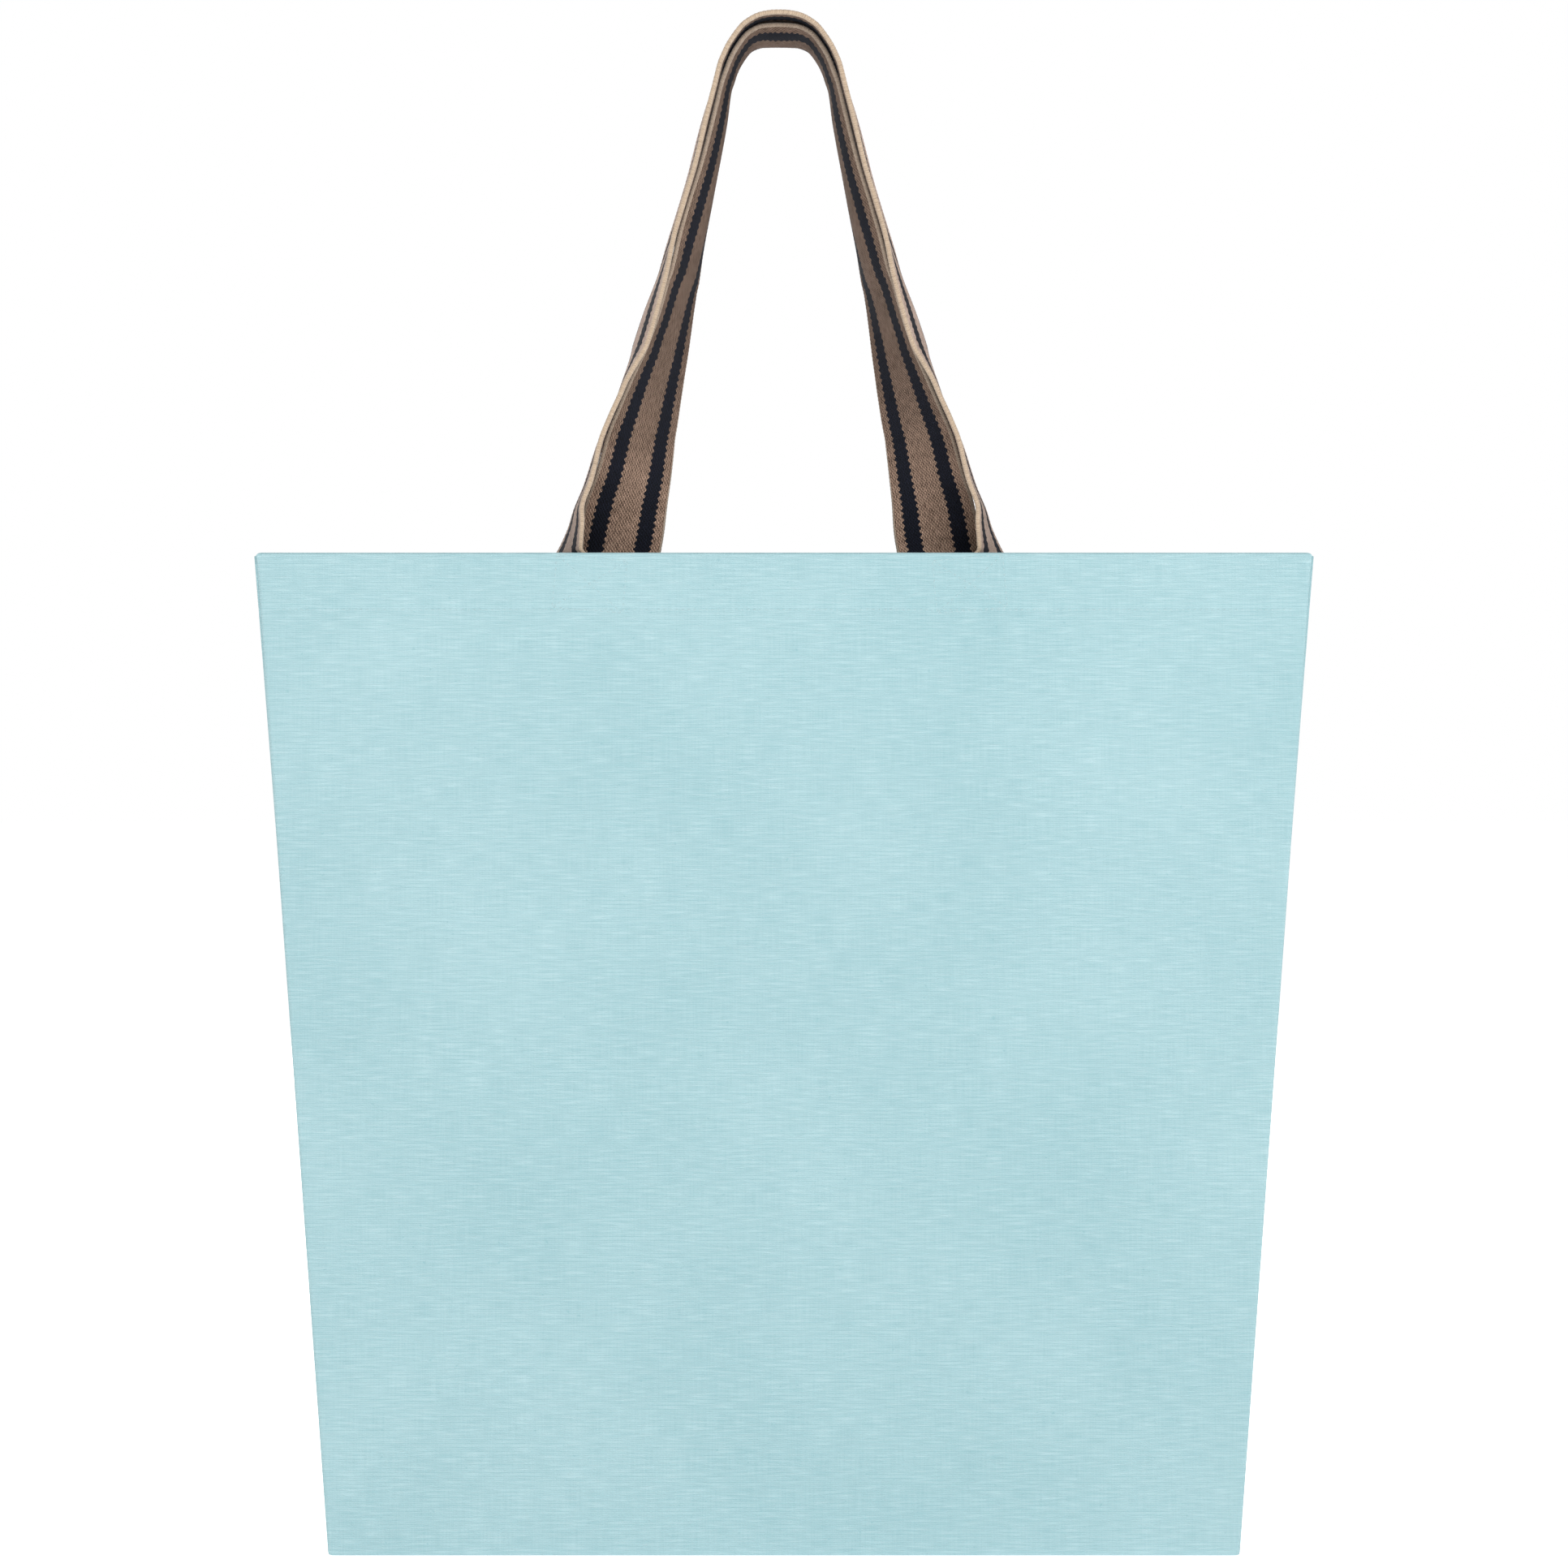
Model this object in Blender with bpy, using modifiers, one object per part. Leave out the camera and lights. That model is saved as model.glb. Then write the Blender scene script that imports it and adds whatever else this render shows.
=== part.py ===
"""Canvas tote bag with two striped webbing handles, built the way it is sewn.

Metres, +Z up. The front of the bag faces -Y, and the origin is at the middle of
the base, on the surface the bag stands on. Two flat panels stand on the long
edges of a base panel and lean in towards each other, side gussets folded inwards
join them, and each handle is one length of webbing sewn inside a panel's hem.
"""

import math

import bpy
from mathutils import Matrix, Vector

# Bag body
TOP_WIDTH = 0.480
BASE_WIDTH = 0.406
MOUTH_HEIGHT = 0.449
BASE_DEPTH = 0.110
MOUTH_DEPTH = 0.048
CANVAS = 0.0012
GAP = 0.0003

# Hems and seams
HEM_DEPTH = 0.028
HEM_STITCH_DROP = 0.0273
HEM_TOP_INSET = 0.0004
HEM_SIDE_INSET = 0.005
THREAD_WIDTH = 0.0008
THREAD_THICKNESS = 0.0005
BINDING_WIDTH = 0.008
BINDING_THICKNESS = 0.001
BINDING_INSET = 0.006

# Side gussets: an inward pleat, deepest at the mouth
GUSSET_SEAM_INSET = 0.001
GUSSET_ROWS = 12
LEG_STEPS = 3
PLEAT_DEPTH = 0.049
PLEAT_GROWTH = 0.6
GUSSET_HEM_SETBACK = 0.012

# Webbing and its sewn ends
WEBBING_WIDTH = 0.040
WEBBING_THICKNESS = 0.0026
END_LENGTH = 0.0245
END_DROP = 0.0045
END_LEAN = math.radians(5)
BOX_WIDTH = 0.032
BOX_HEIGHT = 0.024
BOX_DROP = 0.0145
HANDLE_OFFSET = -0.0013
RAIL_AT_MOUTH = 0.0192
RAIL_AT_TOP = 0.0240
SAMPLE_STEP = 0.004

# One leg of each handle, from the mouth to the top of the loop: distance from the
# handle's middle, height above the mouth, and the turn of the webbing about its own
# length in degrees, where 0 faces the panel and 90 is edge-on to it.
FRONT_END_X = 0.0868
FRONT_LEG = [
    (0.0966, 0.002, 62),
    (0.0947, 0.012, 80),
    (0.0917, 0.023, 86),
    (0.0852, 0.044, 86.5),
    (0.0745, 0.071, 86.5),
    (0.0645, 0.098, 80),
    (0.0552, 0.124, 82.5),
    (0.0492, 0.148, 86),
    (0.0411, 0.172, 88),
    (0.0326, 0.204, 90),
    (0.0271, 0.222, 90),
    (0.0230, 0.2316, 90),
    (0.0180, 0.2386, 90),
    (0.0125, 0.2424, 90),
    (0.0, 0.2446, 90),
]
BACK_END_X = 0.0775
BACK_LEG = [
    (0.0748, 0.004, 12),
    (0.0696, 0.025, 35.5),
    (0.0647, 0.045, 49.5),
    (0.0573, 0.073, 64.5),
    (0.0504, 0.098, 74.5),
    (0.0433, 0.127, 78),
    (0.0380, 0.152, 80.5),
    (0.0325, 0.176, 83.5),
    (0.0245, 0.209, 87.5),
    (0.0180, 0.2265, 89),
    (0.0128, 0.2332, 90),
    (0.0080, 0.2362, 90),
    (0.0, 0.2376, 90),
]

# Hinges
HANDLE_HINGE_Y = 0.025

# Materials: colour, roughness
AQUA_CANVAS = ((0.45, 0.70, 0.74), 0.9)
PALE_THREAD = ((0.62, 0.82, 0.84), 0.7)
AQUA_TAPE = ((0.50, 0.74, 0.77), 0.85)
TAN_WEBBING = ((0.42, 0.30, 0.20), 0.85)

FRONT = -1
BACK = 1
LEFT = -1
RIGHT = 1
SIDE_NAMES = {FRONT: "front", BACK: "back"}
HAND_NAMES = {LEFT: "left", RIGHT: "right"}

LEAN = math.atan2((BASE_DEPTH - MOUTH_DEPTH) / 2, MOUTH_HEIGHT)
PANEL_LENGTH = MOUTH_HEIGHT / math.cos(LEAN)


def clear_scene():
    """Remove whatever the file holds."""
    for obj in list(bpy.data.objects):
        bpy.data.objects.remove(obj, do_unlink=True)


def make_material(name, look):
    """A Principled material of one colour and roughness."""
    colour, roughness = look
    material = bpy.data.materials.new(name)
    material.use_nodes = True
    shader = material.node_tree.nodes["Principled BSDF"]
    shader.inputs["Base Color"].default_value = (*colour, 1.0)
    shader.inputs["Roughness"].default_value = roughness
    shader.inputs["Metallic"].default_value = 0.0
    return material


def add_object(name, data, look, matrix=None):
    """Put data in the scene as one named piece with its own material."""
    obj = bpy.data.objects.new(name, data)
    data.materials.append(make_material(name, look))
    bpy.data.collections["canvas_tote"].objects.link(obj)
    if matrix is not None:
        obj.matrix_world = matrix
    return obj


def flat_piece(name, outlines, thickness, look, matrix):
    """A flat piece from closed outlines in its own XY plane; inner ones are holes."""
    curve = bpy.data.curves.new(name, "CURVE")
    curve.dimensions = "2D"
    curve.fill_mode = "BOTH"
    curve.extrude = thickness / 2
    for outline in outlines:
        spline = curve.splines.new("POLY")
        spline.points.add(len(outline) - 1)
        for point, (x, y) in zip(spline.points, outline):
            point.co = (x, y, 0.0, 1.0)
        spline.use_cyclic_u = True
    return add_object(name, curve, look, matrix)


def sheet_piece(name, rows, thickness, look):
    """A curved sheet through rows of points, thickened about its middle surface."""
    columns = len(rows[0])
    faces = []
    for row in range(len(rows) - 1):
        for column in range(columns - 1):
            first = row * columns + column
            faces.append((first, first + 1, first + columns + 1, first + columns))
    mesh = bpy.data.meshes.new(name)
    mesh.from_pydata([point for row in rows for point in row], [], faces)
    obj = add_object(name, mesh, look)
    solidify = obj.modifiers.new("thickness", "SOLIDIFY")
    solidify.thickness = thickness
    solidify.offset = 0.0
    solidify.use_even_offset = True
    return obj


def panel_plane(side, depth):
    """The matrix of a plane inside a panel's outer face.

    Its X is the bag's X, its Y runs up the slope from the base edge, and it lies
    depth behind the outer face.
    """
    up = Vector((0.0, -side * math.sin(LEAN), math.cos(LEAN)))
    across = Vector((1.0, 0.0, 0.0))
    face = across.cross(up)
    inward = Vector((0.0, -side * math.cos(LEAN), -math.sin(LEAN)))
    base_edge = Vector((0.0, side * BASE_DEPTH / 2, 0.0))
    matrix = Matrix((across, up, face)).transposed().to_4x4()
    matrix.translation = base_edge + inward * depth
    return matrix


def half_width(height):
    """Half the bag's width at a height."""
    return BASE_WIDTH / 2 + (TOP_WIDTH - BASE_WIDTH) / 2 * height / MOUTH_HEIGHT


def half_depth(height):
    """Half the distance between the panels' outer faces at a height."""
    return BASE_DEPTH / 2 - (BASE_DEPTH - MOUTH_DEPTH) / 2 * height / MOUTH_HEIGHT


def edge_x(slope_y):
    """Half a panel's width at a distance up its slope."""
    return half_width(slope_y * math.cos(LEAN))


def trapezium(low, high, inset):
    """A panel-shaped outline between two distances up the slope."""
    return [
        (-(edge_x(low) - inset), low),
        (edge_x(low) - inset, low),
        (edge_x(high) - inset, high),
        (-(edge_x(high) - inset), high),
    ]


def rectangle(width, height):
    """A rectangle about the origin."""
    return [
        (-width / 2, -height / 2),
        (width / 2, -height / 2),
        (width / 2, height / 2),
        (-width / 2, height / 2),
    ]


def build_base():
    """The base panel and the bound seams along its two long edges."""
    clear_depth = half_depth(0) - CANVAS / math.cos(LEAN) - 2 * GAP
    flat_piece(
        "base_panel",
        [rectangle(BASE_WIDTH, 2 * clear_depth)],
        CANVAS,
        AQUA_CANVAS,
        Matrix.Translation((0.0, 0.0, CANVAS / 2)),
    )
    for side in (FRONT, BACK):
        y = side * (clear_depth - BINDING_WIDTH / 2 - 2 * BINDING_THICKNESS - 2 * GAP)
        z = CANVAS + GAP + BINDING_THICKNESS / 2
        flat_piece(
            f"base_{SIDE_NAMES[side]}_seam_binding",
            [rectangle(BASE_WIDTH - 2 * BINDING_INSET, BINDING_WIDTH)],
            BINDING_THICKNESS,
            AQUA_TAPE,
            Matrix.Translation((0.0, y, z)),
        )


def build_panel(side):
    """A panel with its turned-in hem, the hem's stitching and its bound seams."""
    name = SIDE_NAMES[side]
    pieces = [
        flat_piece(
            f"{name}_panel",
            [trapezium(GAP, PANEL_LENGTH, 0.0)],
            CANVAS,
            AQUA_CANVAS,
            panel_plane(side, CANVAS / 2),
        ),
        flat_piece(
            f"{name}_hem",
            [trapezium(PANEL_LENGTH - HEM_DEPTH, PANEL_LENGTH - HEM_TOP_INSET, HEM_SIDE_INSET)],
            CANVAS,
            AQUA_CANVAS,
            panel_plane(side, 1.5 * CANVAS + GAP),
        ),
    ]
    line = PANEL_LENGTH - HEM_STITCH_DROP
    pieces.append(
        flat_piece(
            f"{name}_hem_stitching",
            [trapezium(line - THREAD_WIDTH / 2, line + THREAD_WIDTH / 2, HEM_SIDE_INSET)],
            THREAD_THICKNESS,
            PALE_THREAD,
            panel_plane(side, -GAP - THREAD_THICKNESS / 2),
        )
    )
    for hand in (LEFT, RIGHT):
        pieces.append(build_side_binding(side, hand))
        pieces.extend(build_sewn_end(side, hand))
    return pieces


def build_side_binding(side, hand):
    """The tape that binds the seam between a panel and a gusset."""
    low = CANVAS + GAP + 4 * BINDING_THICKNESS
    high = PANEL_LENGTH - HEM_DEPTH - 3 * BINDING_THICKNESS
    outer = BINDING_INSET
    inner = BINDING_INSET + BINDING_WIDTH
    outline = [
        (hand * (edge_x(low) - outer), low),
        (hand * (edge_x(high) - outer), high),
        (hand * (edge_x(high) - inner), high),
        (hand * (edge_x(low) - inner), low),
    ]
    return flat_piece(
        f"{SIDE_NAMES[side]}_{HAND_NAMES[hand]}_seam_binding",
        [outline],
        BINDING_THICKNESS,
        AQUA_TAPE,
        panel_plane(side, CANVAS + GAP + BINDING_THICKNESS / 2),
    )


def boxed_cross():
    """Outlines of a stitched box with a cross in it: a frame and four openings."""
    half_thread = THREAD_WIDTH / 2
    slope = BOX_HEIGHT / BOX_WIDTH
    lift = half_thread * math.hypot(1.0, slope)
    inner_x = BOX_WIDTH / 2 - half_thread
    inner_y = BOX_HEIGHT / 2 - half_thread
    across = (inner_y - lift) / slope
    rise = slope * inner_x - lift
    outlines = [rectangle(BOX_WIDTH + THREAD_WIDTH, BOX_HEIGHT + THREAD_WIDTH)]
    for sign in (-1, 1):
        outlines.append([(-across, sign * inner_y), (across, sign * inner_y), (0.0, sign * lift)])
        outlines.append([(sign * inner_x, -rise), (sign * inner_x, rise), (sign * lift / slope, 0.0)])
    return outlines


def build_sewn_end(side, hand):
    """One end of a handle, flat behind the hem, and the box stitching that holds it."""
    name = f"{SIDE_NAMES[side]}_handle_{HAND_NAMES[hand]}"
    end_x = FRONT_END_X if side == FRONT else BACK_END_X
    x = HANDLE_OFFSET + hand * end_x
    lean = Matrix.Rotation(hand * END_LEAN, 4, "Z")
    depth = 2 * CANVAS + 2 * GAP + WEBBING_THICKNESS / 2
    end_middle = PANEL_LENGTH - END_DROP - END_LENGTH / 2
    end = flat_piece(
        f"{name}_end",
        [rectangle(WEBBING_WIDTH, END_LENGTH)],
        WEBBING_THICKNESS,
        TAN_WEBBING,
        panel_plane(side, depth) @ Matrix.Translation((x, end_middle, 0.0)) @ lean,
    )
    box_middle = PANEL_LENGTH - BOX_DROP
    box = flat_piece(
        f"{name}_box_stitching",
        boxed_cross(),
        THREAD_THICKNESS,
        PALE_THREAD,
        panel_plane(side, -2 * GAP - 1.5 * THREAD_THICKNESS)
        @ Matrix.Translation((x, box_middle, 0.0))
        @ lean,
    )
    return [end, box]


def gusset_row(hand, height, offset, setback):
    """Points across a gusset at one height, from the front seam round the pleat.

    offset moves the row towards the inside of the bag, and setback starts and ends
    it that far from the seams.
    """
    seam_x = half_width(height) - GUSSET_SEAM_INSET
    seam_y = half_depth(height) - CANVAS * 1.5 - GAP
    pleat = PLEAT_DEPTH * (height / MOUTH_HEIGHT) ** PLEAT_GROWTH
    leg = math.hypot(pleat, seam_y)
    along = Vector((-pleat / leg, seam_y / leg))
    inside = Vector((-along.y, -abs(along.x)))
    start = Vector((seam_x, -seam_y)) + along * setback + inside * offset
    fold = Vector((seam_x - pleat - offset / along.y, 0.0))
    front_leg = [start.lerp(fold, step / LEG_STEPS) for step in range(LEG_STEPS)]
    row = [(hand * point.x, point.y, height) for point in front_leg]
    row.append((hand * fold.x, 0.0, height))
    row.extend((hand * point.x, -point.y, height) for point in reversed(front_leg))
    return row


def build_gusset(hand):
    """A side gusset with its turned-in hem and the hem's stitching."""
    name = f"{HAND_NAMES[hand]}_gusset"
    low = CANVAS + 2 * GAP
    hem_low = MOUTH_HEIGHT - HEM_DEPTH
    top = MOUTH_HEIGHT - HEM_TOP_INSET
    heights = [low + (hem_low - low) * row / GUSSET_ROWS for row in range(GUSSET_ROWS + 1)]
    heights.append(top)
    sheet_piece(name, [gusset_row(hand, z, 0.0, 0.0) for z in heights], CANVAS, AQUA_CANVAS)
    hem = [gusset_row(hand, z, CANVAS + 2 * GAP, GUSSET_HEM_SETBACK) for z in (hem_low, top)]
    sheet_piece(f"{name}_hem", hem, CANVAS, AQUA_CANVAS)
    line = MOUTH_HEIGHT - HEM_STITCH_DROP
    stitch_heights = (line - THREAD_WIDTH / 2, line + THREAD_WIDTH / 2)
    outside = -(CANVAS + THREAD_THICKNESS) / 2 - 2 * GAP
    stitch = [gusset_row(hand, z, outside, HEM_SIDE_INSET) for z in stitch_heights]
    sheet_piece(f"{name}_hem_stitching", stitch, THREAD_THICKNESS, PALE_THREAD)


def smooth_samples(points, step):
    """Points about a step apart on the smooth curve through the given points."""
    places = [0.0]
    for before, after in zip(points, points[1:]):
        places.append(places[-1] + math.hypot(after[0] - before[0], after[1] - before[1]))
    values = [Vector(point) for point in points]
    last = len(points) - 1
    slopes = []
    for index in range(len(points)):
        low = max(index - 1, 0)
        high = min(index + 1, last)
        slopes.append((values[high] - values[low]) / (places[high] - places[low]))
    samples = []
    for index in range(last):
        span = places[index + 1] - places[index]
        count = max(1, round(span / step))
        for part in range(count):
            t = part / count
            samples.append(
                values[index] * (2 * t**3 - 3 * t**2 + 1)
                + slopes[index] * span * (t**3 - 2 * t**2 + t)
                + values[index + 1] * (3 * t**2 - 2 * t**3)
                + slopes[index + 1] * span * (t**3 - t**2)
            )
    samples.append(values[last])
    return samples


def handle_rows(side, leg):
    """Rows across a handle's webbing, from the left end over the top to the right."""
    left = [(-x, height, turn) for x, height, turn in leg]
    right = [(x, height, 180 - turn) for x, height, turn in reversed(leg[:-1])]
    samples = smooth_samples(left + right, SAMPLE_STEP)
    top = leg[-1][1]
    centres = []
    for x, height, turn in samples:
        rail = RAIL_AT_MOUTH + (RAIL_AT_TOP - RAIL_AT_MOUTH) * height / top
        y = side * (rail - WEBBING_WIDTH / 2 * math.sin(math.radians(turn)))
        centres.append(Vector((HANDLE_OFFSET + x, y, MOUTH_HEIGHT + height)))
    rows = []
    for index, centre in enumerate(centres):
        turn = math.radians(samples[index][2])
        before = centres[max(index - 1, 0)]
        after = centres[min(index + 1, len(centres) - 1)]
        along = (after - before).normalized()
        across = Vector((side * math.cos(turn), math.sin(turn), 0.0))
        across = (across - along * across.dot(along)).normalized() * WEBBING_WIDTH / 2
        rows.append([centre - across, centre + across])
    return rows


def build_handle(side):
    """The free loop of one handle."""
    leg = FRONT_LEG if side == FRONT else BACK_LEG
    return sheet_piece(
        f"{SIDE_NAMES[side]}_handle_loop",
        handle_rows(side, leg),
        WEBBING_THICKNESS,
        TAN_WEBBING,
    )


def add_hinge(name, location, parent=None):
    """An empty on a hinge line along X."""
    hinge = bpy.data.objects.new(name, None)
    hinge.empty_display_size = 0.02
    bpy.data.collections["canvas_tote"].objects.link(hinge)
    hinge.matrix_world = Matrix.Translation(location)
    if parent is not None:
        attach(hinge, parent)
    return hinge


def attach(obj, parent):
    """Parent an object without moving it."""
    bpy.context.view_layer.update()
    world = obj.matrix_world.copy()
    obj.parent = parent
    obj.matrix_parent_inverse = parent.matrix_world.inverted()
    obj.matrix_world = world


def main():
    clear_scene()
    collection = bpy.data.collections.new("canvas_tote")
    bpy.context.scene.collection.children.link(collection)
    build_base()
    for hand in (LEFT, RIGHT):
        build_gusset(hand)
    for side in (FRONT, BACK):
        base_edge = add_hinge(f"{SIDE_NAMES[side]}_side_hinge", (0.0, side * BASE_DEPTH / 2, 0.0))
        for piece in build_panel(side):
            attach(piece, base_edge)
        mouth_edge = (0.0, side * HANDLE_HINGE_Y, MOUTH_HEIGHT)
        handle_hinge = add_hinge(f"{SIDE_NAMES[side]}_handle_hinge", mouth_edge, base_edge)
        attach(build_handle(side), handle_hinge)


main()
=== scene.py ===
"""The looks of a canvas tote bag with two striped webbing handles.

Metres, +Z up. The front of the bag faces -Y. Places on a panel are given as x, the
distance up its slope from the base edge, and the depth behind its outer face.
"""

import math

import bpy
import numpy as np
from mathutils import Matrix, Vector


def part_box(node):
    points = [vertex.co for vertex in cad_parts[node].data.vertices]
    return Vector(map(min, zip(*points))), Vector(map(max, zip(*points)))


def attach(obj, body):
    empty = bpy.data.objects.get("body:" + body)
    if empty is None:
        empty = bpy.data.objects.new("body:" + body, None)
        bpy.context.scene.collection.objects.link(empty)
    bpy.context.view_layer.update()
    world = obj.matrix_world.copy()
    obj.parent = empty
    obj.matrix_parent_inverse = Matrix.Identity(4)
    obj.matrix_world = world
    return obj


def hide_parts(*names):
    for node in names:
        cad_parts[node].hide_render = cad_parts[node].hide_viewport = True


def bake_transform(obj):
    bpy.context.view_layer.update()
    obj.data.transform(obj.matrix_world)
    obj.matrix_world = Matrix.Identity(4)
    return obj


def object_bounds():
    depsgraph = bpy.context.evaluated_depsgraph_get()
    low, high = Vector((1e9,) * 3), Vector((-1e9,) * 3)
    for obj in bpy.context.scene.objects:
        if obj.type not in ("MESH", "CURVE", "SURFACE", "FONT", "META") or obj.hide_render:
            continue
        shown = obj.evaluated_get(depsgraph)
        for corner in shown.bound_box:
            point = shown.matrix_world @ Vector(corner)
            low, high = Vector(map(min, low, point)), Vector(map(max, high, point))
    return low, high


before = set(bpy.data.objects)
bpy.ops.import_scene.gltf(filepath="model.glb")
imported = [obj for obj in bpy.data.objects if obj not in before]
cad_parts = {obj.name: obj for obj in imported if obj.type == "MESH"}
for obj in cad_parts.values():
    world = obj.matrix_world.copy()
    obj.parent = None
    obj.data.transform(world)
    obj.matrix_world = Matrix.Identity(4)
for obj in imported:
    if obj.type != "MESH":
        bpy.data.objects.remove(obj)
cad_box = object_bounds()

FRONT, BACK = -1, 1
LEFT, RIGHT = -1, 1
SIDE_NAMES = {FRONT: "front", BACK: "back"}
HAND_NAMES = {LEFT: "left", RIGHT: "right"}

# Bag body, from the frame
HALF_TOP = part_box("front_panel")[1].x
HALF_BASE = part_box("base_panel")[1].x
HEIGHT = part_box("front_panel")[1].z
HALF_DEPTH = cad_box[1].y
HALF_MOUTH = 0.024
LEAN = math.atan2(HALF_DEPTH - HALF_MOUTH, HEIGHT)
SLOPE = HEIGHT / math.cos(LEAN)

# Cloth
CLOTH = 0.0011
LAYER_GAP = 0.0003
CLOTH_STEP = 0.003
BASE_ROLL = 0.0016
SIDE_ROLL = 0.0016
HEM_DEPTH = 0.028
HEM_INSET = 0.005
HEM_LINE = SLOPE - 0.0262
HEM_LINE_REACH = 0.006
HEM_LINE_GROOVE = 0.0016
BASE_ROWS = 38
BASE_COLUMNS = 136

# The rolled side edges flatten towards the top fold, from here and over this distance.
ROLL_EASE_START = SLOPE - 0.006
ROLL_EASE = 0.005

# Gussets. The two setbacks are shares of the leg from the fold to the seam.
PLEAT_DEPTH = 0.049
PLEAT_GROWTH = 0.6
FOLD_SOFTNESS = 0.10
GUSSET_STEP = 0.004
GUSSET_COLUMNS = 15
GUSSET_BULGE = 0.0035
BULGE_START = 0.12
GUSSET_HEM_SETBACK = 0.25
GUSSET_STITCH_SETBACK = 0.05
SEAM_TUCK = 0.0009

# Stitches
STITCH_PITCH = 0.0027
STITCH_LENGTH = 0.0022
THREAD_RADIUS = 0.00028
THREAD_BITE = 0.00005

# Webbing
WEBBING_WIDTH = 0.040
WEBBING_THICKNESS = 0.0023
ROW_STEP = 0.0006
FACE_COLUMNS = 32
EDGE_COLUMNS = 5
RIB_PITCH = 0.0019
RIB_BLOCK = 0.0025
EDGE_BEAD = 0.0010
RIB_HEIGHT = 0.00005
LEAST_CUPPING = 0.01
HANDLE_MIDDLE = -0.0019
RAIL_AT_MOUTH = 0.0194
RAIL_RISE = 0.0046
PANEL_SLANT = math.tan(LEAN)

# Places of the webbing's materials in its list
OUTER_FACE, INNER_FACE, SELVEDGE = 0, 1, 2

# One leg of each handle from its sewn end to the top: distance from the handle's
# middle, height above the mouth, the turn of the webbing and its cupping in degrees.
FRONT_LEG = [
    (0.0873, -0.0290, 0, 0),
    (0.0862, -0.0170, 0, 0),
    (0.0856, -0.0085, 6, 0),
    (0.0905, -0.0050, 34, 0),
    (0.0954, -0.0020, 59, 0),
    (0.0970, 0.0010, 69, 0),
    (0.0961, 0.0050, 73, 0),
    (0.0940, 0.0133, 78, 0),
    (0.0925, 0.0222, 82, 0),
    (0.0881, 0.0340, 83, 3),
    (0.0831, 0.0517, 85, 5),
    (0.0793, 0.0612, 85, 3),
    (0.0749, 0.0708, 85, 1),
    (0.0713, 0.0796, 84, -2),
    (0.0671, 0.0888, 81, -6),
    (0.0639, 0.0962, 78, -11),
    (0.0587, 0.1123, 79, -11),
    (0.0538, 0.1285, 82, -5),
    (0.0501, 0.1446, 84, 6),
    (0.0453, 0.1608, 84.5, 9),
    (0.0405, 0.1769, 84.5, 9),
    (0.0350, 0.1989, 85, 9),
    (0.0308, 0.2137, 86, 8),
    (0.0279, 0.2223, 88, 6),
    (0.0261, 0.2259, 89, 4),
    (0.0229, 0.2315, 90, 0),
    (0.0184, 0.2379, 90, 0),
    (0.0156, 0.2407, 90, 0),
    (0.0103, 0.2438, 90, 0),
    (0.0050, 0.2451, 90, 0),
    (0.0000, 0.2454, 90, 0),
]
BACK_LEG = [
    (0.0779, -0.0290, 0, 0),
    (0.0769, -0.0175, 0, 0),
    (0.0761, -0.0070, 0, 0),
    (0.0747, 0.0035, 3, 0),
    (0.0730, 0.0130, 11, 0),
    (0.0710, 0.0249, 21, 0),
    (0.0681, 0.0367, 32, 0),
    (0.0645, 0.0545, 40.5, 0),
    (0.0616, 0.0641, 46, -2),
    (0.0587, 0.0738, 51.5, -4),
    (0.0560, 0.0827, 56.5, -5),
    (0.0531, 0.0920, 62, -5),
    (0.0512, 0.0994, 65, -5),
    (0.0494, 0.1069, 68, -2),
    (0.0475, 0.1159, 70.5, 2),
    (0.0459, 0.1235, 72, 7),
    (0.0442, 0.1300, 73.5, 13),
    (0.0413, 0.1460, 76, 23),
    (0.0380, 0.1623, 80, 28),
    (0.0346, 0.1786, 85, 29),
    (0.0299, 0.2008, 88, 26),
    (0.0268, 0.2157, 90, 20),
    (0.0247, 0.2213, 90, 18),
    (0.0234, 0.2248, 90, 17),
    (0.0208, 0.2300, 90, 16),
    (0.0166, 0.2361, 90, 16),
    (0.0140, 0.2386, 90, 18),
    (0.0095, 0.2411, 90, 24),
    (0.0045, 0.2421, 90, 29),
    (0.0000, 0.2423, 90, 30),
]

# Box stitching that holds each handle end
BOX_WIDTH = 0.032
BOX_HEIGHT = 0.024
BOX_DROP = 0.0145
BOX_LEAN = math.radians(5)
END_X = {FRONT: 0.0862, BACK: 0.0769}

# Seam tapes
TAPE_WIDTH = 0.008
TAPE_THICKNESS = 0.0012
TAPE_INSET = 0.006
TAPE_LIFT = 0.0006
BASE_TAPE_LIFT = 0.0002
TAPE_FOOT = 0.007
TAPE_HEM_GAP = 0.003

# Colours: light and dark, or dark tan, light tan and navy
CANVAS_COLOURS = ((0.332, 0.472, 0.498), (0.222, 0.368, 0.396))
THREAD_COLOURS = ((0.40, 0.53, 0.55), (0.19, 0.32, 0.345))
TAPE_COLOURS = ((0.34, 0.48, 0.50), (0.23, 0.37, 0.40))
# The two faces are one webbing: the outer face's colours are painted lighter as painted light, the
# inner face's darker as painted shade.
OUTER_PAINTED_LIGHT_COLOURS = ((0.22, 0.150, 0.115), (0.68, 0.52, 0.44), (0.026, 0.026, 0.038))
INNER_PAINTED_SHADE_COLOURS = ((0.032, 0.019, 0.012), (0.265, 0.176, 0.130), (0.007, 0.009, 0.020))
SELVEDGE_COLOURS = ((0.49, 0.38, 0.275), (0.245, 0.175, 0.12))
# The back handle's selvedge is the same webbing, painted darker as painted shade from the front
# handle.
PAINTED_SHADE_SELVEDGE_COLOURS = ((0.37, 0.29, 0.22), (0.18, 0.13, 0.095))
# Painted light: how much paler the inner face's tan is painted near the sewn ends.
INNER_END_PAINTED_LIGHT = 1.0

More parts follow.
